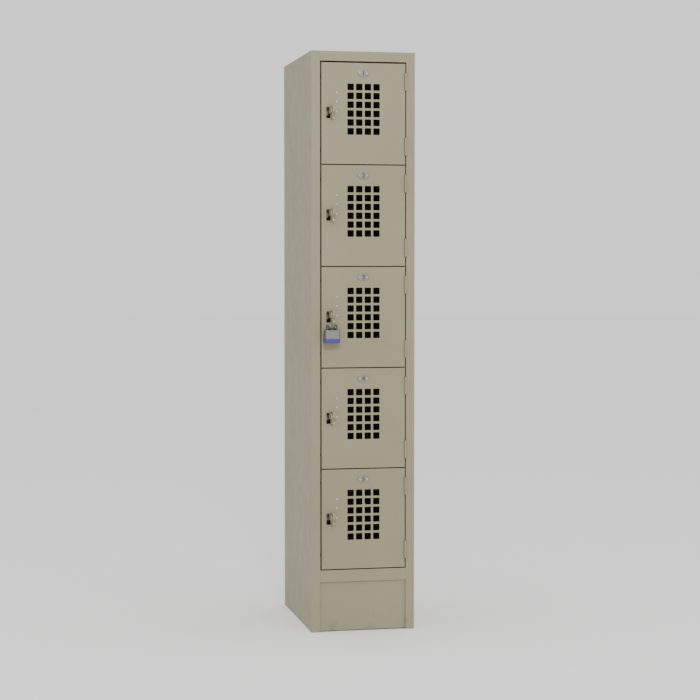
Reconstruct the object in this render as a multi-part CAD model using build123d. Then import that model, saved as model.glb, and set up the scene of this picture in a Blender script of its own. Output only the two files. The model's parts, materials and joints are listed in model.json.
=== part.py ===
from build123d import *
import math
import os

# Five-tier box locker: one column of five perforated doors in a welded steel frame, with a padlock
# hanging on the third door. Origin on the floor at the centre of the whole outline, doors facing -Y.

# ---- cabinet ----
width = 305.0  # across the front frame
depth = 457.0  # face of the frame to the outside of the back panel
height = 1676.0  # floor to top panel
tiers = 5
base_height = 146.0  # legs and kick panel, up to the bottom rail
body_sheet = 0.8
frame_sheet = 1.5

# ---- front frame ----
upright_face = 25.4
upright_depth = 32.0
top_rail = 28.0
bottom_rail = 34.0
rail_lap = 2.5  # rail flanges reach this far past the door stops
face_radius = 0.7  # rounded edge of the folded frame members
stop_lip = 12.0  # flange of an upright that a closed door rests against
cross_rail_height = 21.0
cross_rail_rise = 6.0  # part of a cross rail that stands above the gap between two doors
cross_rail_depth = 15.0
kick_recess = 4.0
kick_clear = 3.0  # kick panel above the floor
kick_flange = 12.0
over = 1.0  # cutting shapes run this far past what they cut
near = 0.01  # how close an edge lies to the plane that picks it

# ---- doors ----
door_sheet = 1.5
door_depth = 16.0
door_radius = 1.1  # outside bend of the door's edges
door_gap = 3.0  # between one door and the next
top_gap = 4.5  # between the top door and the top rail
strike_gap = 4.5  # between the doors and the left upright
hinge_gap = 3.0  # between the doors and the right upright
stop_gap = 2.0  # between the back of a closed door and its stop
vent_size = 19.0
vent_corner = 1.2
vent_pitch = 25.4
vent_columns = 4
vent_rows = 6
vent_first = 69.0  # first row of vents, below the door's top edge

# ---- hinges ----
hinge_length = 50.0
hinge_inset = 52.0  # middle of a hinge from the door's top or bottom edge
hinge_out = 2.0  # pin's axis in front of the door's face
pin_radius = 2.2
pin_clear = 0.05
pin_head = 0.9
pin_head_inset = 0.6  # head's rim inside the barrel's
knuckle_wall = 1.65
knuckles = 5
knuckle_gap = 0.3
leaf_clear = 0.3  # from the pin's plane to each leaf
leaf_depth = 14.0  # leaves reach this far behind the door's face
barrel_clear = 0.4  # around the barrel, in the notches cut for it

# ---- hasp: frame tongue through a slot in the door, with the door's pull beside it ----
hasp_drop = 137.0  # eye below the door's top edge
hasp_side = 24.0  # tongue from the door's left edge
tongue_sheet = 2.5
tongue_height = 18.0
tongue_flat = 3.0  # straight part of the tongue's rounded end
tongue_reach = 25.5  # in front of the door's face
tongue_foot_height = 26.0
eye_radius = 4.75
eye_out = 18.5  # padlock eye in front of the door's face
hasp_slot_width = 12.0
hasp_slot_height = 32.0
hasp_slot_shift = 4.0  # middle of the slot left of the tongue
hasp_slot_lower = 6.5  # middle of the slot below the eye
pull_sheet = 1.5
pull_gap = 3.5  # between the middle of the tongue and the pull's ear
pull_edge_gap = 0.6  # from the pull's edge to the catch's rivet heads
pull_above = 13.0  # pull's top edge above the eye
pull_below = 27.0
pull_reach = 26.0
pull_corner = 6.0
pull_lip = 8.0  # front flange, which the fingers hold
pull_lip_below = 4.0  # flange's lower edge below the eye
pull_lip_corner = 3.0
pull_eye_width = 10.5
pull_rivet_out = 7.5  # pull's rivets from its ear, and from its top and bottom edges
pull_rivet_inset = 7.0

# ---- fixings, catch, number plate, silencers ----
rivet_shank = 1.6
rivet_clear = 0.05  # around a shank in its hole
rivet_head = 3.1
rivet_rise = 1.1
rivet_tail = 2.6
head_round = 0.8  # rounded share of a rivet's or hinge pin's head
drill_reach = 9.0  # rivet drills run this far each way from a face
catch_line = 45.0  # catch rivets from the door's left edge
catch_drops = (86.0, 112.0, 140.0)
catch_sheet = 1.2
catch_width = 14.0
catch_margin = 8.0
catch_arm_top = 88.0
catch_arm_height = 20.0
catch_past = 4.5  # arm's end behind the stop's back
catch_clear = 2.5  # from the stop lip, for the arc of the swing
plate_length = 36.0
plate_height = 22.0
plate_sheet = 1.0
plate_edge = 0.4
plate_drop = 30.0
plate_rivet_spread = 10.5
silencer_radius = 5.0
silencer_height = 1.6
silencer_round = 0.5
silencer_inset = 40.0  # from the door's top or bottom edge

# ---- shelves, back, feet ----
shelf_flange = 12.0
post_width = 25.0
post_sheet = 1.5
foot_sheet = 2.0
foot_hole = 4.0
back_rivet_rows = 6
back_rivet_inset = 60.0
wall_hole = 4.0
wall_hole_spread = 200.0
wall_hole_inset = 130.0

# ---- padlock ----
lock_width = 44.0
lock_depth = 25.0
lock_corner = 5.5
lock_turn = 15.0  # padlock hangs turned this far about the upright line through its crown
lock_plates = 11
lock_plate = 3.2
lock_plate_edge = 0.4
shackle_radius = 4.0
shackle_inside = 19.5
shackle_rise = 29.0  # middle of the crown above the body
toe_depth = 8.0
heel_depth = 22.0
shackle_clear = 0.1
shackle_rest = 0.9  # left under the bar in the pull's eye
shackle_above = 3.3  # from the bar up to the tongue's lower edge, at the lowest
heel_groove = 1.2  # deep
groove_length = 4.0
groove_rise = 5.0  # middle of the groove above the heel's end
bumper_wall = 1.0
bumper_floor = 1.8
bumper_height = 12.0
bumper_radius = 0.8
bumper_hole_clear = 1.0
plug_radius = 6.5
plug_clear = 0.1
plug_length = 14.0
plug_recess = 0.2  # plug's face above the bumper's floor
keyway_width = 2.2
keyway_height = 8.0
keyway_deep = 10.0
lock_rivet = 2.0
lock_rivet_inset = 4.6
lock_head_radius = 2.6
lock_head_rise = 0.6
lock_head_round = 0.4

# ---- places that follow ----
lock_along = (lock_width / 2 - lock_corner) * math.sin(math.radians(lock_turn))
lock_across = (lock_depth / 2 - lock_corner) * math.cos(math.radians(lock_turn))
front_reach = eye_out + lock_along + lock_across + lock_corner + bumper_wall
front_y = front_reach - (front_reach + depth + rivet_rise) / 2
back_y = front_y + depth
half = width / 2
opening = half - upright_face
door_left = -opening + strike_gap
hinge_x = opening - hinge_gap / 2
door_right = opening - hinge_gap
hinge_y = front_y - hinge_out
stop_y = front_y + door_depth + stop_gap
stop_back = stop_y + frame_sheet
doors_top = height - top_rail
rail_bottom = base_height + bottom_rail
pitch = (doors_top - top_gap - rail_bottom) / tiers
rail_depth = door_depth + stop_gap + frame_sheet + rail_lap
inner_top = height - body_sheet
knuckle_radius = pin_radius + pin_clear + knuckle_wall
rivet_bore = rivet_shank + rivet_clear
pull_width = catch_line - rivet_head - pull_edge_gap - hasp_side - pull_gap
tongue_x = door_left + hasp_side
ear_x = tongue_x + pull_gap
lock_x = (tongue_x - tongue_sheet / 2 + ear_x + pull_sheet) / 2
lock_door = 3
locker = {}


def block(x0, x1, y0, y1, z0, z1):
    return Pos((x0 + x1) / 2, (y0 + y1) / 2, (z0 + z1) / 2) * Box(x1 - x0, y1 - y0, z1 - z0)


def rod(radius, start, end, axis):
    """Round bar along one row axis, from start to end, with both ends given as points."""
    turn = {"x": Rot(0, 90, 0), "y": Rot(-90, 0, 0), "z": Rot(0, 0, 0)}[axis]
    length = (Vector(*end) - Vector(*start)).length
    middle = (Vector(*end) + Vector(*start)) / 2
    return Pos(middle.X, middle.Y, middle.Z) * turn * Cylinder(radius, length)


def drill(radius, x, y, z):
    """Cutting bar along Y through sheets near the face y."""
    return rod(radius, (x, y - drill_reach, z), (x, y + drill_reach, z), "y")


def mirrored(shape):
    return mirror(shape, Plane.YZ)


def door_top(n):
    return doors_top - top_gap - (n - 1) * pitch


def door_bottom(n):
    return door_top(n) - pitch + door_gap


def gap_middle(n):
    """Height of the gap under door n."""
    return door_bottom(n) - door_gap / 2


def hinge_heights(n):
    return (door_top(n) - hinge_inset, door_bottom(n) + hinge_inset)


def barrel_notch(middle):
    """Space that the hinge barrels need in the face of the door and of the right upright."""
    reach = knuckle_radius + barrel_clear
    tall = hinge_length / 2 + pin_head + barrel_clear
    x0, x1 = hinge_x - reach, hinge_x + reach
    return block(x0, x1, front_y - over, hinge_y + reach, middle - tall, middle + tall)


def all_notches():
    return [barrel_notch(z) for n in range(1, tiers + 1) for z in hinge_heights(n)]


def rounded_front(shape, axis, radius):
    edges = shape.edges().filter_by(axis).filter_by_position(Axis.Y, front_y - near, front_y + near)
    return fillet(edges, radius)


# ---- cabinet shell ----
def side_panel():
    return block(half - body_sheet, half, front_y + frame_sheet, back_y - body_sheet, 0, inner_top)


def back_panel():
    sheet = block(-half, half, back_y - body_sheet, back_y, base_height, inner_top)
    holes = []
    for x in (-wall_hole_spread / 2, wall_hole_spread / 2):
        for z in (rail_bottom + wall_hole_inset, doors_top - wall_hole_inset):
            holes.append(drill(wall_hole, x, back_y, z))
    holes += [drill(rivet_bore, x, back_y, z) for x, z in back_rivet_places()]
    return sheet - holes


def back_rivet_places():
    low = base_height + back_rivet_inset
    step = (inner_top - back_rivet_inset - low) / (back_rivet_rows - 1)
    x = half - body_sheet - post_width / 2
    return [(side * x, low + row * step) for side in (-1, 1) for row in range(back_rivet_rows)]


def top_panel():
    return block(-half, half, front_y + frame_sheet, back_y, inner_top, height)


def shelf(top):
    """Floor of a compartment, folded down at its two sides."""
    x = half - body_sheet
    y0, y1 = stop_back, back_y - body_sheet
    plate = block(-x, x, y0, y1, top - body_sheet, top)
    fold = block(x - body_sheet, x, y0, y1, top - shelf_flange, top - body_sheet)
    plate = plate + fold + mirrored(fold)
    for side in (-1, 1):
        low, high = top - shelf_flange - over, top + over
        post = sorted((side * (x - post_width), side * x))
        bar = sorted((side * opening, side * x))
        plate -= block(*post, y1 - post_width, y1, low, high)
        plate -= block(*bar, y0 - over, front_y + upright_depth, low, high)
    return plate


def rear_post():
    x1, y1 = half - body_sheet, back_y - body_sheet
    post = block(x1 - post_width, x1, y1 - post_sheet, y1, 0, inner_top)
    post += block(x1 - post_sheet, x1, y1 - post_width, y1, 0, inner_top)
    right = [place for place in back_rivet_places() if place[0] > 0]
    return post - [drill(rivet_bore, x, y1, z) for x, z in right]


def back_rivets():
    solids = []
    for x, z in back_rivet_places():
        inside = back_y - body_sheet - post_sheet
        shank = rod(rivet_shank, (x, inside, z), (x, back_y, z), "y")
        tail = rod(rivet_tail, (x, inside - rivet_rise, z), (x, inside, z), "y")
        solids.append(shank + tail + rivet_dome(x, back_y, z, 1))
    return solids


def rivet_dome(x, y, z, way):
    """Low round head on the face y, standing out towards +Y (way 1) or -Y (way -1)."""
    head = rod(rivet_head, (x, y, z), (x, y + way * rivet_rise, z), "y")
    outer = head.faces().sort_by(Axis.Y)[-1 if way > 0 else 0]
    return fillet(outer.edges(), rivet_rise * head_round)


# ---- front frame ----
def upright():
    """Right upright: open channel with the door stop folded from its inner wall."""
    bar = block(opening, half, front_y, front_y + frame_sheet, 0, height)
    outer = half - body_sheet
    y0 = front_y + frame_sheet
    bar += block(outer - frame_sheet, outer, y0, front_y + upright_depth, 0, inner_top)
    bar += block(opening, opening + frame_sheet, y0, stop_back, 0, inner_top)
    bar += block(opening - stop_lip, opening, stop_y, stop_back, rail_bottom, doors_top)
    return rounded_front(bar, Axis.Z, face_radius)


def rail(z0, z1, flange_low, flange_high):
    """Frame rail between the uprights, flush with them, with flanges folded back."""
    bar = block(-opening, opening, front_y, front_y + frame_sheet, z0, z1)
    y0, y1 = front_y + frame_sheet, front_y + rail_depth
    bar += block(-opening, opening, y0, y1, flange_low, flange_low + frame_sheet)
    bar += block(-opening, opening, y0, y1, flange_high - frame_sheet, flange_high)
    return bar


def bottom_rail_bar():
    return rail(base_height, rail_bottom, base_height, rail_bottom)


def top_rail_bar():
    return rail(doors_top, height, doors_top, inner_top)


def cross_rail(n):
    """Channel behind the gap under door n, which carries the front of the shelf."""
    x = opening - stop_lip
    z1 = gap_middle(n) + cross_rail_rise
    z0 = z1 - cross_rail_height
    bar = block(-x, x, stop_y, stop_back, z0, z1)
    back = stop_y + cross_rail_depth
    bar += block(-x, x, stop_back, back, z0, z0 + frame_sheet)
    bar += block(-x, x, stop_back, back, z1 - frame_sheet - body_sheet, z1 - body_sheet)
    return bar


def kick_panel():
    y0 = front_y + frame_sheet + kick_recess
    y1 = y0 + frame_sheet
    face = block(-opening, opening, y0, y1, kick_clear, base_height)
    return face + block(-opening, opening, y1, y0 + kick_flange, kick_clear, kick_clear + frame_sheet)


def foot_x():
    return half - body_sheet - post_width / 2


def front_foot():
    x0, x1 = opening + frame_sheet, half - body_sheet - frame_sheet
    y0, y1 = front_y + frame_sheet, front_y + upright_depth
    foot = block(x0, x1, y0, y1, 0, foot_sheet)
    y = (y0 + y1) / 2
    return foot - rod(foot_hole, (foot_x(), y, -over), (foot_x(), y, foot_sheet + over), "z")


def rear_foot():
    x1, y1 = half - body_sheet - post_sheet, back_y - body_sheet - post_sheet
    y0 = y1 - (post_width - post_sheet)
    foot = block(x1 - (post_width - post_sheet), x1, y0, y1, 0, foot_sheet)
    y = (y0 + y1) / 2
    return foot - rod(foot_hole, (foot_x(), y, -over), (foot_x(), y, foot_sheet + over), "z")


def hasp_tongue(n):
    """Angle bracket on the back of the left stop lip, whose tongue passes out through the door."""
    eye_z = door_top(n) - hasp_drop
    x0, x1 = tongue_x - tongue_sheet / 2, tongue_x + tongue_sheet / 2
    y_tip = front_y - tongue_reach
    y_back = stop_back + tongue_sheet
    low, high = eye_z - tongue_height / 2, eye_z + tongue_height / 2
    plate = block(x0, x1, y_tip, y_back, low, high)
    tip = plate.edges().filter_by(Axis.X).filter_by_position(Axis.Y, y_tip - near, y_tip + near)
    plate = fillet(tip, (tongue_height - tongue_flat) / 2)
    low, high = eye_z - tongue_foot_height / 2, eye_z + tongue_foot_height / 2
    foot = block(-opening, x1, stop_back, y_back, low, high)
    y = front_y - eye_out
    return plate + foot - rod(eye_radius, (x0 - over, y, eye_z), (x1 + over, y, eye_z), "x")


def silencers():
    solids = []
    x = -opening + stop_lip / 2
    for n in range(1, tiers + 1):
        for z in (door_top(n) - silencer_inset, door_bottom(n) + silencer_inset):
            pad = rod(silencer_radius, (x, stop_y - silencer_height, z), (x, stop_y, z), "y")
            front = pad.faces().sort_by(Axis.Y)[0]
            solids.append(fillet(front.edges(), silencer_round))
    return solids


# ---- hinges ----
def knuckle(middle, index):
    each = hinge_length / knuckles
    z0 = middle - hinge_length / 2 + index * each + knuckle_gap / 2
    z1 = z0 + each - knuckle_gap
    ring = rod(knuckle_radius, (hinge_x, hinge_y, z0), (hinge_x, hinge_y, z1), "z")
    return ring, z0, z1


def hinge_half(middle, side):
    """One leaf and its knuckles: side 1 is the frame's, -1 the door's."""
    span = sorted((hinge_x + side * leaf_clear, hinge_x + side * hinge_gap / 2))
    leaf_y = hinge_y + knuckle_radius + leaf_clear
    low, high = middle - hinge_length / 2, middle + hinge_length / 2
    body = block(*span, leaf_y, front_y + leaf_depth, low, high)
    for index in range(knuckles):
        if (index % 2 == 0) == (side == 1):
            ring, z0, z1 = knuckle(middle, index)
            web = block(*span, hinge_y + pin_radius + leaf_clear, leaf_y, z0, z1)
            body += ring + web
    bore = pin_radius + pin_clear
    return body - rod(bore, (hinge_x, hinge_y, low), (hinge_x, hinge_y, high), "z")


def hinge_pin(middle):
    tall = hinge_length / 2
    head = knuckle_radius - pin_head_inset
    pin = rod(pin_radius, (hinge_x, hinge_y, middle - tall), (hinge_x, hinge_y, middle + tall), "z")
    for way in (-1, 1):
        start = (hinge_x, hinge_y, middle + way * tall)
        end = (hinge_x, hinge_y, middle + way * (tall + pin_head))
        cap = rod(head, start, end, "z")
        outer = cap.faces().sort_by(Axis.Z)[-1 if way > 0 else 0]
        pin += fillet(outer.edges(), pin_head * head_round)
    return pin


# ---- doors ----
def plate_shape(length, tall, thick, x, y, z):
    """Oval plate with pointed ends, standing on the face y."""
    rise = tall / 2
    arc = (length**2 / 4 + rise**2) / (2 * rise)
    lens = Circle(arc)
    outline = (Pos(0, rise - arc) * lens) & (Pos(0, arc - rise) * lens)
    upright_plane = Plane(origin=(x, y, z), x_dir=(1, 0, 0), z_dir=(0, -1, 0))
    return extrude(upright_plane * outline, thick)


def plate_rivet_places(n):
    x = (door_left + door_right) / 2
    return [(x + side * plate_rivet_spread, door_top(n) - plate_drop) for side in (-1, 1)]


def pull_rivet_places(n):
    x = ear_x + pull_rivet_out
    eye_z = door_top(n) - hasp_drop
    return [(x, eye_z + pull_above - pull_rivet_inset), (x, eye_z - pull_below + pull_rivet_inset)]


def catch_rivet_places(n):
    return [(door_left + catch_line, door_top(n) - drop) for drop in catch_drops]


def rivet_bores(places):
    return [drill(rivet_bore, x, front_y, z) for x, z in places]


def door_panel(n):
    """Pan-formed door with its vents, the hasp slot and the notches for the hinge barrels."""
    low, high = door_bottom(n), door_top(n)
    pan = block(door_left, door_right, front_y, front_y + door_depth, low, high)
    front = pan.faces().sort_by(Axis.Y)[0]
    pan = fillet(front.edges(), door_radius)
    t = door_sheet
    back = front_y + door_depth + over
    pan -= block(door_left + t, door_right - t, front_y + t, back, low + t, high - t)
    middle = (door_left + door_right) / 2
    cuts = []
    for column in range(vent_columns):
        for row in range(vent_rows):
            x = middle + (column - (vent_columns - 1) / 2) * vent_pitch
            z = high - vent_first - row * vent_pitch
            hole = Pos(x, front_y, z) * Box(vent_size, 4 * t, vent_size)
            cuts.append(fillet(hole.edges().filter_by(Axis.Y), vent_corner))
    slot_x = tongue_x - hasp_slot_shift
    slot_z = high - hasp_drop - hasp_slot_lower
    cuts.append(Pos(slot_x, front_y, slot_z) * Box(hasp_slot_width, 4 * t, hasp_slot_height))
    cuts += [barrel_notch(z) for z in hinge_heights(n)]
    cuts += rivet_bores(catch_rivet_places(n) + plate_rivet_places(n) + pull_rivet_places(n))
    return pan - cuts


def door_rivets(n):
    solids = []
    layers = (
        (catch_rivet_places(n), front_y, front_y + door_sheet + catch_sheet),
        (plate_rivet_places(n), front_y - plate_sheet, front_y + door_sheet),
        (pull_rivet_places(n), front_y - pull_sheet, front_y + door_sheet),
    )
    for places, outside, inside in layers:
        for x, z in places:
            shank = rod(rivet_shank, (x, outside, z), (x, inside, z), "y")
            tail = rod(rivet_tail, (x, inside, z), (x, inside + rivet_rise, z), "y")
            solids.append(shank + tail + rivet_dome(x, outside, z, -1))
    return solids


def number_plate(n):
    x = (door_left + door_right) / 2
    plate = plate_shape(plate_length, plate_height, plate_sheet, x, front_y, door_top(n) - plate_drop)
    outer = plate.faces().sort_by(Axis.Y)[0]
    return chamfer(outer.edges(), plate_edge) - rivet_bores(plate_rivet_places(n))


def door_pull(n):
    """Pull: a base riveted to the door, an ear beside the tongue and a flange to hold."""
    eye_z = door_top(n) - hasp_drop
    low, high = eye_z - pull_below, eye_z + pull_above
    base = block(ear_x, ear_x + pull_width, front_y - pull_sheet, front_y, low, high)
    right = base.edges().filter_by(Axis.Y).sort_by(Axis.X)[-2:]
    base = fillet(right, pull_corner)
    y_tip = front_y - pull_reach
    ear = block(ear_x, ear_x + pull_sheet, y_tip, front_y, low, high)
    tip = ear.edges().filter_by(Axis.X).filter_by_position(Axis.Y, y_tip - near, y_tip + near)
    ear = fillet(tip.sort_by(Axis.Z)[0], pull_corner)
    lip_low = eye_z - pull_lip_below
    lip = block(ear_x, ear_x + pull_lip, y_tip, y_tip + pull_sheet, lip_low, high)
    ear += fillet(lip.edges().filter_by(Axis.Y).sort_by(Axis.X)[-2:], pull_lip_corner)
    top, bottom = eye_z + eye_radius, shackle_seat(n)
    round_end = pull_eye_width / 2
    x0, x1 = ear_x - over, ear_x + pull_sheet + over
    y = front_y - eye_out
    eye = block(x0, x1, y - round_end, y + round_end, bottom + round_end, top - round_end)
    eye += rod(round_end, (x0, y, bottom + round_end), (x1, y, bottom + round_end), "x")
    eye += rod(round_end, (x0, y, top - round_end), (x1, y, top - round_end), "x")
    return base + ear - eye - rivet_bores(pull_rivet_places(n))


def shackle_seat(n):
    """Lower edge of the pull's eye, where a hanging padlock rests."""
    return door_top(n) - hasp_drop - tongue_height / 2 - shackle_radius * 2 - shackle_above


def door_catch(n):
    """Inner catch: a riveted strip with an arm bent back towards the left stop lip."""
    top = door_top(n)
    y0 = front_y + door_sheet
    y1 = y0 + catch_sheet
    x = door_left + catch_line
    high, low = top - catch_drops[0] + catch_margin, top - catch_drops[-1] - catch_margin
    strip = block(x - catch_width / 2, x + catch_width / 2, y0, y1, low, high)
    nose = -opening + stop_lip + catch_clear
    arm_z0, arm_z1 = top - catch_arm_top - catch_arm_height, top - catch_arm_top
    arm = block(nose, x - catch_width / 2, y0, y1, arm_z0, arm_z1)
    arm += block(nose, nose + catch_sheet, y1, stop_back + catch_past, arm_z0, arm_z1)
    return strip + arm - rivet_bores(catch_rivet_places(n))


# ---- padlock on the third door ----
def crown_z():
    """Middle of the shackle's bar at the top of its bow, with the bar resting in the pull's eye."""
    reach = leg_offset()
    off_centre = (ear_x + pull_sheet - lock_x) / math.cos(math.radians(lock_turn))
    sag = reach - (reach**2 - off_centre**2) ** 0.5
    return shackle_seat(lock_door) + shackle_radius + sag + shackle_rest


def lock_top():
    return crown_z() - shackle_rise


def leg_offset():
    return shackle_inside / 2 + shackle_radius


def lock_outline(grow):
    blank = Rectangle(lock_width + 2 * grow, lock_depth + 2 * grow)
    return Pos(lock_x, front_y - eye_out) * fillet(blank.vertices(), lock_corner + grow)


def lock_rivet_places():
    x, y = lock_width / 2 - lock_rivet_inset, lock_depth / 2 - lock_rivet_inset
    return [(lock_x + i * x, front_y - eye_out + j * y) for i in (-1, 1) for j in (-1, 1)]


def padlock_plates():
    y = front_y - eye_out
    bottom = lock_top() - lock_plates * lock_plate
    low, high = bottom - over, lock_top() + over
    clear = shackle_radius + shackle_clear
    plug_high = plug_end() + plug_clear
    cuts = [rod(plug_radius + plug_clear, (lock_x, y, low), (lock_x, y, plug_high), "z")]
    for side, deep in ((-1, toe_depth), (1, heel_depth)):
        x = lock_x + side * leg_offset()
        cuts.append(rod(clear, (x, y, lock_top() - deep - over), (x, y, high), "z"))
    for px, py in lock_rivet_places():
        cuts.append(rod(lock_rivet, (px, py, low), (px, py, high), "z"))
    solids = []
    for index in range(lock_plates):
        z = bottom + index * lock_plate
        plate = extrude(Pos(0, 0, z) * lock_outline(0), lock_plate)
        rims = plate.faces().filter_by(Axis.Z).edges()
        solids.append(chamfer(rims, lock_plate_edge) - cuts)
    return solids


def plug_end():
    return lock_floor() + plug_length


def lock_floor():
    return lock_top() - lock_plates * lock_plate - bumper_floor


def padlock_plug():
    y = front_y - eye_out
    z0 = lock_floor() + plug_recess
    plug = rod(plug_radius, (lock_x, y, z0), (lock_x, y, plug_end()), "z")
    x0, x1 = lock_x - keyway_width / 2, lock_x + keyway_width / 2
    y0, y1 = y - keyway_height / 2, y + keyway_height / 2
    return plug - block(x0, x1, y0, y1, z0 - over, z0 + keyway_deep)


def padlock_bumper():
    """Plastic boot that wraps the lower plates, open under the plug."""
    z0 = lock_floor()
    boot = extrude(Pos(0, 0, z0) * lock_outline(bumper_wall), bumper_height)
    boot = fillet(boot.faces().filter_by(Axis.Z).edges(), bumper_radius)
    boot -= extrude(Pos(0, 0, z0 + bumper_floor) * lock_outline(0), bumper_height)
    y = front_y - eye_out
    hole = plug_radius + bumper_hole_clear
    return boot - rod(hole, (lock_x, y, z0 - over), (lock_x, y, z0 + bumper_floor + over), "z")


def padlock_rivets():
    bottom = lock_top() - lock_plates * lock_plate
    solids = []
    for px, py in lock_rivet_places():
        pin = rod(lock_rivet, (px, py, bottom), (px, py, lock_top()), "z")
        high = lock_top() + lock_head_rise
        cap = rod(lock_head_radius, (px, py, lock_top()), (px, py, high), "z")
        solids.append(pin + fillet(cap.faces().sort_by(Axis.Z)[-1].edges(), lock_head_round))
    return solids


def padlock_shackle():
    """U-bar: a short toe on the left and a long heel on the right, held in the body by its groove."""
    y = front_y - eye_out
    reach = leg_offset()
    bend_z = crown_z() - reach
    crown = JernArc((lock_x - reach, 0), (0, 1), reach, -180)
    plane = Plane(origin=(0, y, bend_z), x_dir=(1, 0, 0), z_dir=(0, -1, 0))
    path = plane * crown
    profile = Plane(origin=path @ 0, z_dir=path % 0) * Circle(shackle_radius)
    bow = sweep(profile, path)
    left, right = lock_x - reach, lock_x + reach
    toe = rod(shackle_radius, (left, y, lock_top() - toe_depth), (left, y, bend_z), "z")
    heel = rod(shackle_radius, (right, y, lock_top() - heel_depth), (right, y, bend_z), "z")
    groove_z = lock_top() - heel_depth + groove_rise
    ends = (right, y, groove_z - groove_length / 2), (right, y, groove_z + groove_length / 2)
    core = rod(shackle_radius - heel_groove, *ends, "z")
    return bow + toe + (heel - (rod(shackle_radius + over, *ends, "z") - core))


def turned(shape):
    """A piece of the padlock, turned about the upright line through the shackle's crown."""
    y = front_y - eye_out
    return Pos(lock_x, y, 0) * Rot(0, 0, lock_turn) * Pos(-lock_x, -y, 0) * shape


# ---- assembly ----
locker["side_panel_right"] = side_panel()
locker["side_panel_left"] = mirrored(side_panel())
locker["back_panel"] = back_panel()
locker["back_rivets"] = back_rivets()
locker["top_panel"] = top_panel()
locker["bottom_panel"] = shelf(rail_bottom + body_sheet)
for n in range(1, tiers):
    locker[f"shelf_{n}"] = shelf(gap_middle(n) + cross_rail_rise)
locker["rear_post_right"] = rear_post()
locker["rear_post_left"] = mirrored(rear_post())
locker["foot_plates"] = [front_foot(), mirrored(front_foot()), rear_foot(), mirrored(rear_foot())]
locker["frame_upright_right"] = upright() - all_notches()
locker["frame_upright_left"] = mirrored(upright())
locker["frame_top_rail"] = top_rail_bar()
locker["frame_bottom_rail"] = bottom_rail_bar()
locker["frame_cross_rails"] = [cross_rail(n) for n in range(1, tiers)]
locker["kick_panel"] = kick_panel()
locker["hasp_tongues"] = [hasp_tongue(n) for n in range(1, tiers + 1)]
locker["door_silencers"] = silencers()
middles = [z for n in range(1, tiers + 1) for z in hinge_heights(n)]
locker["hinge_frame_leaves"] = [hinge_half(z, 1) for z in middles]
locker["hinge_pins"] = [hinge_pin(z) for z in middles]
for n in range(1, tiers + 1):
    locker[f"door_{n}_panel"] = door_panel(n)
    locker[f"door_{n}_hinge_leaves"] = [hinge_half(z, -1) for z in hinge_heights(n)]
    locker[f"door_{n}_number_plate"] = number_plate(n)
    locker[f"door_{n}_rivets"] = door_rivets(n)
    locker[f"door_{n}_pull"] = door_pull(n)
    locker[f"door_{n}_catch"] = door_catch(n)
locker["padlock_plates"] = [turned(plate) for plate in padlock_plates()]
locker["padlock_rivets"] = [turned(rivet) for rivet in padlock_rivets()]
locker["padlock_bumper"] = turned(padlock_bumper())
locker["padlock_plug"] = turned(padlock_plug())
locker["padlock_shackle"] = turned(padlock_shackle())

os.makedirs("parts", exist_ok=True)
for name, piece in locker.items():
    shape = Compound(piece) if isinstance(piece, list) else piece
    export_step(shape, f"parts/{name}.step")
print(len(locker), "nodes")
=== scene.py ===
import json
import math
import bpy
import bmesh
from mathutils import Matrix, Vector


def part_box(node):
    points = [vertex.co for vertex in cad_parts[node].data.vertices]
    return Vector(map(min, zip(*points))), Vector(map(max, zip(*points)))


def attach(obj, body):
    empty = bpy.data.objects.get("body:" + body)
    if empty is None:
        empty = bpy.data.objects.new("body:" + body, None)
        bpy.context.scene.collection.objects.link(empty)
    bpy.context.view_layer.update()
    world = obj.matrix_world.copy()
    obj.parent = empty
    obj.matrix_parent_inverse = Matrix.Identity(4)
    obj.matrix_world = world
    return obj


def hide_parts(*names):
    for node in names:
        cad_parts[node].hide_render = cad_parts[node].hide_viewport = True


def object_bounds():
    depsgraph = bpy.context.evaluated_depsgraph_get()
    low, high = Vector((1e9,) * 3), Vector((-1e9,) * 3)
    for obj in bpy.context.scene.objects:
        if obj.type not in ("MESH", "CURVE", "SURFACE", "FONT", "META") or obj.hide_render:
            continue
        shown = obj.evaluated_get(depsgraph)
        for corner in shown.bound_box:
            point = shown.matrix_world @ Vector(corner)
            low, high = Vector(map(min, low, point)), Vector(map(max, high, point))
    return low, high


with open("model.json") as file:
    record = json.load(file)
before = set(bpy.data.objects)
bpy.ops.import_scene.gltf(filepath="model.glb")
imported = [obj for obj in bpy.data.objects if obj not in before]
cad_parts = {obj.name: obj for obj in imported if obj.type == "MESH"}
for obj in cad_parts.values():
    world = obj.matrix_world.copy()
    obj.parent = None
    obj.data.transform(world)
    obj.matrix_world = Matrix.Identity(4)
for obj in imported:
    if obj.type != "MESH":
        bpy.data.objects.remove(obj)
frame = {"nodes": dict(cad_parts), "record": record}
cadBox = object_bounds()
nodes = frame["nodes"]
mounts = {mount["name"]: mount for mount in frame["record"]["mounts"]}
doorNumbers = (1, 2, 3, 4, 5)
mm = 0.001
near = 0.1 * mm  # reach when faces and edges are picked by place
tiny = 0.01 * mm  # points closer than this are one
facing = 0.9  # a normal with this share along an axis faces that way
print("frame loaded")


# camera, lights and floor

view = {
    "place": (-1.137, -5.466, 1.069),  # metres, from the middle of the cabinet's foot
    "turn": -11.8,  # degrees, to the right
    "tilt": -2.67,
    "lens": 95.7,
    "sensor": 36,
}
studio = {
    "worldTone": (1.0, 1.0, 1.0, 1.0),
    "worldStrength": 1.12,
    "floorTone": (0.96, 0.96, 0.955, 1.0),
    "floorSize": 60,
    "floorRough": 0.9,
    "keyPlace": (-0.7, -5.6, 4.4),
    "keySize": 1.4,
    "keyPower": 200.0,
    "fillPlace": (3.4, -4.6, 2.2),
    "fillSize": 3.0,
    "fillPower": 12.0,
}


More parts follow.
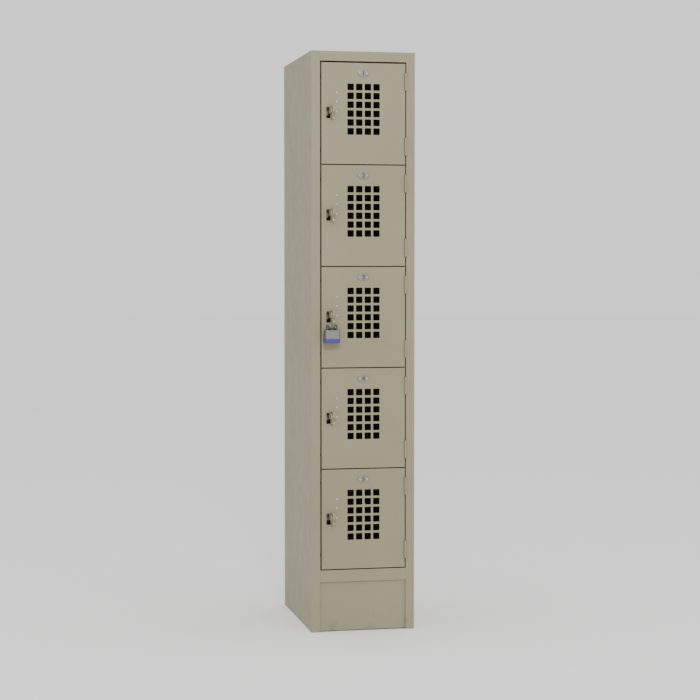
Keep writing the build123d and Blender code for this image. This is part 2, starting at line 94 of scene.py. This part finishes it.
def setCamera():
    data = bpy.data.cameras.new("camera")
    camera = bpy.data.objects.new("camera", data)
    bpy.context.scene.collection.objects.link(camera)
    camera.location = view["place"]
    camera.rotation_euler = (math.radians(90 + view["tilt"]), 0, math.radians(view["turn"]))
    data.lens = view["lens"]
    data.sensor_width = view["sensor"]
    bpy.context.scene.camera = camera


def addLamp(name, place, size, power):
    data = bpy.data.lights.new(name, "AREA")
    data.shape = "DISK"
    data.size = size
    data.energy = power
    lamp = bpy.data.objects.new(name, data)
    bpy.context.scene.collection.objects.link(lamp)
    lamp.location = place
    middle = (cadBox[0] + cadBox[1]) / 2
    lamp.rotation_euler = (middle - Vector(place)).to_track_quat("-Z", "Y").to_euler()


def setStage():
    bpy.ops.object.select_all(action="DESELECT")
    bpy.ops.mesh.primitive_plane_add(size=studio["floorSize"], location=(0, 0, 0))
    floor = bpy.context.object
    floor.name = "studioFloor"
    material = bpy.data.materials.new("studioFloor")
    material.use_nodes = True
    shader = material.node_tree.nodes["Principled BSDF"]
    shader.inputs["Base Color"].default_value = studio["floorTone"]
    shader.inputs["Roughness"].default_value = studio["floorRough"]
    floor.data.materials.append(material)
    world = bpy.data.worlds.new("studio")
    world.use_nodes = True
    sky = world.node_tree.nodes["Background"]
    sky.inputs["Color"].default_value = studio["worldTone"]
    sky.inputs["Strength"].default_value = studio["worldStrength"]
    bpy.context.scene.world = world
    addLamp("keyLamp", studio["keyPlace"], studio["keySize"], studio["keyPower"])
    addLamp("fillLamp", studio["fillPlace"], studio["fillSize"], studio["fillPower"])


setCamera()
setStage()
print("camera and studio ready")


# materials

class Maker:
    def __init__(self, name):
        self.material = bpy.data.materials.new(name)
        self.material.use_nodes = True
        self.tree = self.material.node_tree
        self.shader = self.tree.nodes["Principled BSDF"]
        self.place = self.add("ShaderNodeTexCoord").outputs["Object"]

    def add(self, kind):
        return self.tree.nodes.new(kind)

    def join(self, start, end):
        self.tree.links.new(start, end)

    def fix(self, **values):
        for name, value in values.items():
            self.shader.inputs[name.replace("_", " ")].default_value = value

    def noise(self, scale, detail=3.0, stretch=(1, 1, 1)):
        mapping = self.add("ShaderNodeMapping")
        mapping.inputs["Scale"].default_value = stretch
        self.join(self.place, mapping.inputs["Vector"])
        texture = self.add("ShaderNodeTexNoise")
        texture.inputs["Scale"].default_value = scale
        texture.inputs["Detail"].default_value = detail
        self.join(mapping.outputs["Vector"], texture.inputs["Vector"])
        return texture.outputs["Fac"]

    def ramp(self, value, stops):
        node = self.add("ShaderNodeValToRGB")
        while len(node.color_ramp.elements) < len(stops):
            node.color_ramp.elements.new(0.5)
        for element, (spot, tone) in zip(node.color_ramp.elements, stops):
            element.position = spot
            element.color = (*tone, 1.0)
        self.join(value, node.inputs["Fac"])
        return node.outputs["Color"]

    def span(self, value, low, high, fromLow=0.3, fromHigh=0.7):
        node = self.add("ShaderNodeMapRange")
        node.inputs["From Min"].default_value = fromLow
        node.inputs["From Max"].default_value = fromHigh
        node.inputs["To Min"].default_value = low
        node.inputs["To Max"].default_value = high
        self.join(value, node.inputs["Value"])
        return node.outputs["Result"]

    def bump(self, layers):
        normal = None
        for value, strength, distance in layers:
            node = self.add("ShaderNodeBump")
            node.inputs["Strength"].default_value = strength
            node.inputs["Distance"].default_value = distance
            self.join(value, node.inputs["Height"])
            if normal:
                self.join(normal, node.inputs["Normal"])
            normal = node.outputs["Normal"]
        self.join(normal, self.shader.inputs["Normal"])

    def blend(self, mask, first, second):
        node = self.add("ShaderNodeMix")
        node.data_type = "RGBA"
        self.join(mask, node.inputs["Factor"])
        for tone, name in ((first, "A"), (second, "B")):
            socket = [s for s in node.inputs if s.name == name and s.type == "RGBA"][0]
            if isinstance(tone, tuple):
                socket.default_value = (*tone, 1.0)
            else:
                self.join(tone, socket)
        return [s for s in node.outputs if s.type == "RGBA"][0]


# each noise has its scale and detail, then its stretch; each lift is a strength and a height in metres
enamelLook = {
    "tone": (0.262, 0.243, 0.158),
    "darker": (0.248, 0.229, 0.148),
    "lighter": (0.276, 0.257, 0.169),
    "cloud": (3.2, 5.0),
    "cloudSpots": (0.3, 0.5, 0.72),
    "scuff": (0.20, 0.185, 0.14),
    "scuffTop": 0.10,  # metres above the floor
    "scuffNoise": (38.0, 8.0, (1, 1, 0.45)),
    "scuffEdge": (0.56, 0.68),
    "roughNoise": (21.0, 6.0),
    "rough": (0.44, 0.58),
    "specular": 0.16,
    "waves": (7.0, 1.0),
    "waveLift": (0.08, 0.002),
    "orangePeel": (620.0, 2.0),
    "peelLift": (0.22, 0.00012),
}
metalLook = {
    "scale": 260.0,
    "spots": (0.3, 0.7),
    "toneDetail": 6.0,
    "roughScale": 0.4,  # of the metal's own scale
    "roughDetail": 5.0,
    "roughSpan": (0.8, 1.25),  # of the metal's roughness
    "grainScale": 2.2,
    "grainDetail": 3.0,
    "grainLift": (0.25, 0.00006),
}
mouldedLook = {
    "darker": 0.8,  # of the tone
    "spots": (0.3, 0.7),
    "cloud": (60.0, 5.0),
    "roughNoise": (180.0, 4.0),
    "roughSpan": (0.85, 1.15),
    "grain": (900.0, 3.0),
    "grainLift": (0.3, 0.00008),
}


def makeEnamel(name, shade=1.0):
    m = Maker(name)
    look = enamelLook
    tones = [tuple(c * shade for c in look[key]) for key in ("darker", "tone", "lighter")]
    cloud = m.ramp(m.noise(*look["cloud"]), list(zip(look["cloudSpots"], tones)))
    split = m.add("ShaderNodeSeparateXYZ")
    m.join(m.place, split.inputs["Vector"])
    low = m.span(split.outputs["Z"], 1.0, 0.0, 0.0, look["scuffTop"])
    marks = m.span(m.noise(*look["scuffNoise"]), 0.0, 1.0, *look["scuffEdge"])
    mask = m.add("ShaderNodeMath")
    mask.operation = "MULTIPLY"
    m.join(low, mask.inputs[0])
    m.join(marks, mask.inputs[1])
    tone = m.blend(mask.outputs["Value"], cloud, look["scuff"])
    m.join(tone, m.shader.inputs["Base Color"])
    m.join(m.span(m.noise(*look["roughNoise"]), *look["rough"]), m.shader.inputs["Roughness"])
    m.fix(Specular_IOR_Level=look["specular"])
    m.bump([
        (m.noise(*look["waves"]), *look["waveLift"]),
        (m.noise(*look["orangePeel"]), *look["peelLift"]),
    ])
    return m.material


def makeMetal(name, dark, light, rough, grain=(1, 1, 1), scale=metalLook["scale"]):
    m = Maker(name)
    look = metalLook
    tone = m.ramp(m.noise(scale, look["toneDetail"], grain), list(zip(look["spots"], (dark, light))))
    m.join(tone, m.shader.inputs["Base Color"])
    worn = m.noise(scale * look["roughScale"], look["roughDetail"], grain)
    low, high = look["roughSpan"]
    m.join(m.span(worn, rough * low, rough * high), m.shader.inputs["Roughness"])
    m.fix(Metallic=1.0)
    lines = m.noise(scale * look["grainScale"], look["grainDetail"], grain)
    m.bump([(lines, *look["grainLift"])])
    return m.material


def makeMoulded(name, tone, rough):
    m = Maker(name)
    look = mouldedLook
    darker = tuple(c * look["darker"] for c in tone)
    cloud = m.ramp(m.noise(*look["cloud"]), list(zip(look["spots"], (darker, tone))))
    m.join(cloud, m.shader.inputs["Base Color"])
    low, high = look["roughSpan"]
    m.join(m.span(m.noise(*look["roughNoise"]), rough * low, rough * high), m.shader.inputs["Roughness"])
    m.bump([(m.noise(*look["grain"]), *look["grainLift"])])
    return m.material


enamel = makeEnamel("puttyEnamel")
# a darker copy of the putty enamel for the inside parts: painted shade, since the inside is the same
# paint
insidePaintedShadeEnamel = makeEnamel("insidePaintedShadeEnamel", 0.8)
zinc = makeMetal("zincPlate", (0.42, 0.43, 0.43), (0.62, 0.63, 0.62), 0.38, scale=120.0)
rivetSteel = makeMetal("rivetSteel", (0.42, 0.41, 0.38), (0.60, 0.59, 0.55), 0.3)
plateMetal = makeMetal(
    "numberPlateMetal", (0.20, 0.195, 0.165), (0.32, 0.315, 0.27), 0.36, grain=(1, 1, 14), scale=180.0
)
lockSteel = makeMetal(
    "lockPlateSteel", (0.20, 0.205, 0.20), (0.34, 0.345, 0.33), 0.3, grain=(1, 1, 9), scale=200.0
)
# the shackle's very dark tone is partly the hardened steel's own and partly painted dark reflection
shackleSteel = makeMetal("shackleSteel", (0.06, 0.06, 0.052), (0.12, 0.12, 0.105), 0.26, scale=150.0)
lockBrass = makeMetal("lockBrass", (0.55, 0.40, 0.17), (0.74, 0.56, 0.26), 0.32)
bluePlastic = makeMoulded("bumperBlue", (0.045, 0.042, 0.21), 0.42)
blackRubber = makeMoulded("silencerRubber", (0.035, 0.034, 0.033), 0.7)
digitInk = makeMoulded("digitEnamel", (0.03, 0.03, 0.032), 0.4)


def paintNode(name, material):
    mesh = nodes[name].data
    mesh.materials.clear()
    mesh.materials.append(material)


slotMaterial = {
    "cabinet_paint": enamel,
    "zinc_plate": zinc,
    "rivet": rivetSteel,
    "number_plate": plateMetal,
    "rubber": blackRubber,
    "lock_steel": lockSteel,
    "lock_shackle": shackleSteel,
    "lock_bumper": bluePlastic,
    "lock_brass": lockBrass,
}
for part in frame["record"]["subparts"]:
    paintNode(part["node"], slotMaterial[part["material_slot"]])
# shelves, bottom panel and cross rails take the darker copy as painted shade for the cabinet's inside
for name in nodes:
    if name.startswith("shelf") or name in ("bottom_panel", "frame_cross_rails"):
        paintNode(name, insidePaintedShadeEnamel)
print("materials ready")


# modelling helpers

def deselectAll():
    if bpy.context.mode != "OBJECT":
        bpy.ops.object.mode_set(mode="OBJECT")
    bpy.ops.object.select_all(action="DESELECT")


def makeActive(piece):
    deselectAll()
    piece.select_set(True)
    bpy.context.view_layer.objects.active = piece


def settle(piece):
    makeActive(piece)
    bpy.ops.object.transform_apply(location=True, rotation=True, scale=True)
    return piece


def addBlock(name, low, high):
    deselectAll()
    low, high = Vector(low), Vector(high)
    bpy.ops.mesh.primitive_cube_add(size=1, location=(low + high) / 2)
    piece = bpy.context.object
    piece.name = name
    piece.scale = high - low
    return settle(piece)


def addRod(name, radius, start, end, sides=48):
    deselectAll()
    start, end = Vector(start), Vector(end)
    turn = (end - start).to_track_quat("Z", "Y").to_euler()
    bpy.ops.mesh.primitive_cylinder_add(
        vertices=sides, radius=radius, depth=(end - start).length,
        location=(start + end) / 2, rotation=turn
    )
    piece = bpy.context.object
    piece.name = name
    return settle(piece)


def pick(piece, kind, test):
    makeActive(piece)
    bpy.ops.object.mode_set(mode="EDIT")
    bpy.ops.mesh.select_mode(type=kind)
    bpy.ops.mesh.select_all(action="DESELECT")
    mesh = bmesh.from_edit_mesh(piece.data)
    items = {"VERT": mesh.verts, "EDGE": mesh.edges, "FACE": mesh.faces}[kind]
    for item in items:
        item.select_set(bool(test(item)))
    mesh.select_flush_mode()
    bmesh.update_edit_mesh(piece.data)


def runsAlong(edge, axis):
    return abs((edge.verts[1].co - edge.verts[0].co).normalized()[axis]) > 0.99


def edgeMiddle(edge):
    return (edge.verts[0].co + edge.verts[1].co) / 2


def bevelPicked(width, segments):
    bpy.ops.mesh.bevel(offset=width, segments=segments, affect="EDGES", offset_type="OFFSET")
    bpy.ops.object.mode_set(mode="OBJECT")


def softenEdges(piece, width, segments=2, angle=40):
    makeActive(piece)
    modifier = piece.modifiers.new("soften", "BEVEL")
    modifier.width = width
    modifier.segments = segments
    modifier.limit_method = "ANGLE"
    modifier.angle_limit = math.radians(angle)
    bpy.ops.object.modifier_apply(modifier=modifier.name)


def cutWith(piece, cutter):
    makeActive(piece)
    modifier = piece.modifiers.new("cut", "BOOLEAN")
    modifier.operation = "DIFFERENCE"
    modifier.solver = "EXACT"
    modifier.object = cutter
    bpy.ops.object.modifier_apply(modifier=modifier.name)


def discard(piece):
    bpy.data.objects.remove(piece, do_unlink=True)


def joinPieces(name, pieces):
    makeActive(pieces[0])
    for piece in pieces[1:]:
        piece.select_set(True)
    bpy.ops.object.join()
    bpy.context.object.name = name
    return bpy.context.object


def finishPiece(piece, material, slot, body, *replaced, smooth=35):
    makeActive(piece)
    bpy.ops.object.shade_smooth_by_angle(angle=math.radians(smooth))
    piece.data.materials.clear()
    piece.data.materials.append(material)
    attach(piece, body)
    if replaced:
        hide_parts(*replaced)
    return piece


# number plates

plateShape = {
    "rim": 1.5 * mm,
    "sink": 0.35 * mm,
    "edge": 0.18 * mm,
    "edgeAngle": 60,  # sharper corners than this are softened
    "sides": 72,
    "digitSize": 19 * mm,
    "digitRaise": 0.3 * mm,
    "digitEdge": 0.08 * mm,
    "digitCurve": 6,
}


def numberPlate(n):
    low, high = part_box(f"door_{n}_number_plate")
    middle = (low + high) / 2
    deselectAll()
    bpy.ops.mesh.primitive_circle_add(
        vertices=plateShape["sides"], radius=0.5, fill_type="NGON",
        location=(middle.x, high.y, middle.z), rotation=(math.pi / 2, 0, 0)
    )
    plate = bpy.context.object
    plate.scale = (high.x - low.x, high.z - low.z, 1)
    settle(plate)
    pick(plate, "FACE", lambda face: True)
    bpy.ops.mesh.extrude_region_move(TRANSFORM_OT_translate={"value": (0, low.y - high.y, 0)})
    bpy.ops.mesh.inset(thickness=plateShape["rim"], depth=0)
    bpy.ops.mesh.inset(thickness=plateShape["sink"], depth=-plateShape["sink"])
    bpy.ops.mesh.select_all(action="SELECT")
    bpy.ops.mesh.normals_make_consistent(inside=False)
    bpy.ops.object.mode_set(mode="OBJECT")
    softenEdges(plate, plateShape["edge"], angle=plateShape["edgeAngle"])
    plate.name = f"numberPlate{n}"
    finishPiece(plate, plateMetal, "number_plate", f"door_{n}", f"door_{n}_number_plate")
    return Vector((middle.x, low.y + plateShape["sink"], middle.z))


def plateDigit(n, place):
    deselectAll()
    bpy.ops.object.text_add(location=place, rotation=(math.pi / 2, 0, 0))
    digit = bpy.context.object
    digit.data.body = str(n)
    digit.data.size = plateShape["digitSize"]
    digit.data.extrude = plateShape["digitRaise"]
    digit.data.bevel_depth = plateShape["digitEdge"]
    digit.data.resolution_u = plateShape["digitCurve"]
    digit.data.align_x = "CENTER"
    digit.data.align_y = "CENTER"
    bpy.ops.object.convert(target="MESH")
    settle(digit)
    digit.name = f"plateDigit{n}"
    finishPiece(digit, digitInk, "number_plate", f"door_{n}")


for n in doorNumbers:
    plateDigit(n, numberPlate(n))
print("number plates made")


# door pulls, each with a tall eye for the padlock

pullShape = {
    "sheet": 1.5 * mm,
    "corner": 6 * mm,
    "bend": 1.1 * mm,
    "eyeWidth": 10.5 * mm,
    "eyeTop": 4.75 * mm,  # above the padlock eye's middle
    "eyeBottom": 20.3 * mm,
    "lip": 8 * mm,  # front flange
    "lipBelow": 4 * mm,  # under the padlock eye's middle
    "lipCorner": 3 * mm,
    "edge": 0.25 * mm,
    "cornerSteps": 8,
    "lipSteps": 5,
    "bendSteps": 4,
    "eyeSides": 40,
    "eyeCut": 3 * mm,  # the cutter's reach on each side
}


def doorPull(n):
    low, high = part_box(f"door_{n}_pull")
    eye = Vector(mounts[f"padlock_eye_{n}"]["pos_m"])
    sheet = pullShape["sheet"]
    pull = addBlock(f"doorPull{n}", low, (low.x + sheet, high.y, high.z))
    pick(pull, "FACE", lambda face: True)
    bpy.ops.mesh.bisect(plane_co=(low.x, high.y - sheet, low.z), plane_no=(0, 1, 0))
    pick(pull, "FACE", lambda face: face.normal.x > facing
         and face.calc_center_median().y > high.y - sheet)
    bpy.ops.mesh.extrude_region_move(TRANSFORM_OT_translate={"value": (high.x - low.x - sheet, 0, 0)})
    pick(pull, "FACE", lambda face: True)
    lipLow = eye.z - pullShape["lipBelow"]
    bpy.ops.mesh.bisect(plane_co=(low.x, low.y + sheet, low.z), plane_no=(0, 1, 0))
    pick(pull, "FACE", lambda face: face.calc_center_median().y < low.y + sheet + near)
    bpy.ops.mesh.bisect(plane_co=(low.x, low.y, lipLow), plane_no=(0, 0, 1))
    pick(pull, "FACE", lambda face: face.normal.x > facing
         and face.calc_center_median().y < low.y + sheet
         and face.calc_center_median().z > lipLow)
    bpy.ops.mesh.extrude_region_move(TRANSFORM_OT_translate={"value": (pullShape["lip"] - sheet, 0, 0)})
    bpy.ops.object.mode_set(mode="OBJECT")
    pick(pull, "EDGE", lambda edge: runsAlong(edge, 0) and abs(edgeMiddle(edge).y - low.y) < near
         and edgeMiddle(edge).z < low.z + near)
    bevelPicked(pullShape["corner"], pullShape["cornerSteps"])
    pick(pull, "EDGE", lambda edge: runsAlong(edge, 1)
         and abs(edgeMiddle(edge).x - low.x - pullShape["lip"]) < near
         and edgeMiddle(edge).y < low.y + sheet)
    bevelPicked(pullShape["lipCorner"], pullShape["lipSteps"])
    pick(pull, "EDGE", lambda edge: runsAlong(edge, 2) and abs(edgeMiddle(edge).y - low.y) < near
         and abs(edgeMiddle(edge).x - low.x) < near)
    bevelPicked(pullShape["bend"], pullShape["bendSteps"])
    pick(pull, "EDGE", lambda edge: runsAlong(edge, 1) and abs(edgeMiddle(edge).x - high.x) < near)
    bevelPicked(pullShape["corner"], pullShape["cornerSteps"])
    pick(pull, "EDGE", lambda edge: runsAlong(edge, 2) and abs(edgeMiddle(edge).y - high.y) < near
         and abs(edgeMiddle(edge).x - low.x) < near)
    bevelPicked(pullShape["bend"], pullShape["bendSteps"])
    half = pullShape["eyeWidth"] / 2
    side = pullShape["eyeCut"]
    middle = eye.z + pullShape["eyeTop"] - half
    cutter = addRod("eyeCutter", half, (low.x - side, eye.y, middle),
                    (low.x + side, eye.y, middle), pullShape["eyeSides"])
    pick(cutter, "VERT", lambda vert: vert.co.z < middle - near)
    fall = pullShape["eyeTop"] + pullShape["eyeBottom"] - pullShape["eyeWidth"]
    bpy.ops.transform.translate(value=(0, 0, -fall))
    bpy.ops.object.mode_set(mode="OBJECT")
    cutWith(pull, cutter)
    discard(cutter)
    softenEdges(pull, pullShape["edge"])
    finishPiece(pull, enamel, "cabinet_paint", f"door_{n}", f"door_{n}_pull")


for n in doorNumbers:
    doorPull(n)
print("door pulls made")


# padlock

lockShape = {
    "wide": 44 * mm,
    "deep": 25 * mm,
    "turned": 15,  # degrees, about the upright line through the crown
    "plates": 11,
    "plateRim": 0.55 * mm,
    "corner": 5.5 * mm,
    "shyness": 0.12 * mm,  # every second plate is this much smaller
    "barRadius": 4 * mm,
    "barGap": 19.5 * mm,
    "holeClear": 0.25 * mm,
    "toeDepth": 8 * mm,
    "plugRadius": 6.5 * mm,
    "plugHole": 6.6 * mm,
    "bumperCorner": 6.4 * mm,
    "bumperFoot": 2.2 * mm,
    "bumperWall": 1.0 * mm,
    "bumperFloor": 1.8 * mm,
    "bumperEdge": 0.25 * mm,
    "bumperHole": 0.9 * mm,  # wider than the plug's hole, on the radius
    "bumperCut": 4 * mm,
    "keyway": (2.2 * mm, 8 * mm, 10 * mm),
    "plugEdge": 0.3 * mm,
    "plugSides": 56,
    "barEdge": 0.5 * mm,
    "barEdgeSteps": 3,
    "barSides": 36,
    "crownSteps": 28,
    "cornerSteps": 10,
    "plateRimSteps": 3,
    "bumperFootSteps": 5,
    "sharp": 50,  # degrees; sharper corners than this are softened
    "barSharp": 60,
    "over": 1 * mm,  # cutters reach this far past a face
}


def lockBox(node, grow=0):
    low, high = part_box(node)
    middle = (low + high) / 2
    half = Vector((lockShape["wide"] / 2 + grow, lockShape["deep"] / 2 + grow, 0))
    return Vector((*(middle - half).xy, low.z)), Vector((*(middle + half).xy, high.z)), middle


def turnLock(piece):
    low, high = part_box("padlock_plates")
    pick(piece, "VERT", lambda vert: True)
    bpy.ops.transform.rotate(value=-math.radians(lockShape["turned"]), orient_axis="Z",
                             center_override=(low + high) / 2)
    bpy.ops.object.mode_set(mode="OBJECT")


def roundedBlock(name, low, high, corner, rim, rimSegments, onlyLow=False):
    piece = addBlock(name, low, high)
    pick(piece, "EDGE", lambda edge: runsAlong(edge, 2))
    bevelPicked(corner, lockShape["cornerSteps"])
    ends = (low[2],) if onlyLow else (low[2], high[2])
    pick(piece, "EDGE", lambda edge: not runsAlong(edge, 2)
         and any(abs(edgeMiddle(edge).z - end) < tiny for end in ends))
    bevelPicked(rim, rimSegments)
    return piece


def lockHoles(low, high, middle):
    over = lockShape["over"]
    reach = lockShape["barGap"] / 2 + lockShape["barRadius"]
    radius = lockShape["barRadius"] + lockShape["holeClear"]
    top = high.z + over
    toeEnd = high.z - lockShape["toeDepth"] - over
    toe = addRod("toeCutter", radius, (middle.x - reach, middle.y, toeEnd),
                 (middle.x - reach, middle.y, top))
    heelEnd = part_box("padlock_shackle")[0].z - over
    heel = addRod("heelCutter", radius, (middle.x + reach, middle.y, heelEnd),
                  (middle.x + reach, middle.y, top))
    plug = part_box("padlock_plug")[1].z
    bore = addRod("boreCutter", lockShape["plugHole"], (middle.x, middle.y, low.z - over),
                  (middle.x, middle.y, plug + near))
    return joinPieces("lockCutter", [toe, heel, bore])


def lockPlates():
    low, high, middle = lockBox("padlock_plates")
    cutter = lockHoles(low, high, middle)
    count = lockShape["plates"]
    tall = (high.z - low.z) / count
    made = []
    for index in range(count):
        shy = lockShape["shyness"] * (index % 2)
        z = low.z + index * tall
        plate = roundedBlock(f"lockPlate{index}", (low.x + shy, low.y + shy, z),
                             (high.x - shy, high.y - shy, z + tall),
                             lockShape["corner"], lockShape["plateRim"], lockShape["plateRimSteps"])
        cutWith(plate, cutter)
        made.append(plate)
    discard(cutter)
    body = joinPieces("lockPlates", made)
    turnLock(body)
    finishPiece(body, lockSteel, "lock_steel", "padlock_body", "padlock_plates")


def lockBumper():
    low, high, middle = lockBox("padlock_bumper", lockShape["bumperWall"])
    boot = roundedBlock("lockBumper", low, high, lockShape["bumperCorner"],
                        lockShape["bumperFoot"], lockShape["bumperFootSteps"], True)
    pick(boot, "FACE", lambda face: face.normal.z > facing
         and face.calc_center_median().z > high.z - near)
    bpy.ops.mesh.inset(thickness=lockShape["bumperWall"], depth=0)
    drop = high.z - low.z - lockShape["bumperFloor"]
    bpy.ops.mesh.extrude_region_move(TRANSFORM_OT_translate={"value": (0, 0, -drop)})
    bpy.ops.object.mode_set(mode="OBJECT")
    hole = addRod("bumperHole", lockShape["plugHole"] + lockShape["bumperHole"],
                  (middle.x, middle.y, low.z - lockShape["over"]),
                  (middle.x, middle.y, low.z + lockShape["bumperCut"]))
    cutWith(boot, hole)
    discard(hole)
    softenEdges(boot, lockShape["bumperEdge"], angle=lockShape["sharp"])
    turnLock(boot)
    finishPiece(boot, bluePlastic, "lock_bumper", "padlock_body", "padlock_bumper")


def lockShackle():
    low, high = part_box("padlock_shackle")
    middle = (low + high) / 2
    radius = lockShape["barRadius"]
    reach = lockShape["barGap"] / 2 + radius
    bendZ = high.z - radius - reach
    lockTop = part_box("padlock_plates")[1].z
    deselectAll()
    bpy.ops.mesh.primitive_circle_add(
        vertices=lockShape["barSides"], radius=radius, fill_type="NGON",
        location=(middle.x - reach, middle.y, lockTop - lockShape["toeDepth"])
    )
    bar = bpy.context.object
    settle(bar)
    pick(bar, "FACE", lambda face: True)
    bpy.ops.mesh.extrude_region_move(
        TRANSFORM_OT_translate={"value": (0, 0, bendZ - lockTop + lockShape["toeDepth"])}
    )
    bpy.ops.mesh.spin(steps=lockShape["crownSteps"], angle=math.pi,
                      center=(middle.x, middle.y, bendZ), axis=(0, 1, 0))
    bpy.ops.mesh.extrude_region_move(TRANSFORM_OT_translate={"value": (0, 0, low.z - bendZ)})
    bpy.ops.mesh.select_all(action="SELECT")
    bpy.ops.mesh.remove_doubles(threshold=tiny)
    bpy.ops.mesh.normals_make_consistent(inside=False)
    bpy.ops.object.mode_set(mode="OBJECT")
    bar.name = "lockShackle"
    softenEdges(bar, lockShape["barEdge"], lockShape["barEdgeSteps"], lockShape["barSharp"])
    turnLock(bar)
    finishPiece(bar, shackleSteel, "lock_shackle", "padlock_shackle", "padlock_shackle")


def lockPlug():
    low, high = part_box("padlock_plug")
    middle = (low + high) / 2
    wide, deep, tall = lockShape["keyway"]
    plug = addRod("lockPlug", lockShape["plugRadius"], (middle.x, middle.y, low.z),
                  (middle.x, middle.y, high.z), lockShape["plugSides"])
    key = addBlock("keyCutter", (middle.x - wide / 2, middle.y - deep / 2, low.z - lockShape["over"]),
                   (middle.x + wide / 2, middle.y + deep / 2, low.z + tall))
    cutWith(plug, key)
    discard(key)
    softenEdges(plug, lockShape["plugEdge"], angle=lockShape["sharp"])
    turnLock(plug)
    finishPiece(plug, lockBrass, "lock_brass", "padlock_plug", "padlock_plug")


lockPlates()
lockBumper()
lockShackle()
lockPlug()
print("padlock made")
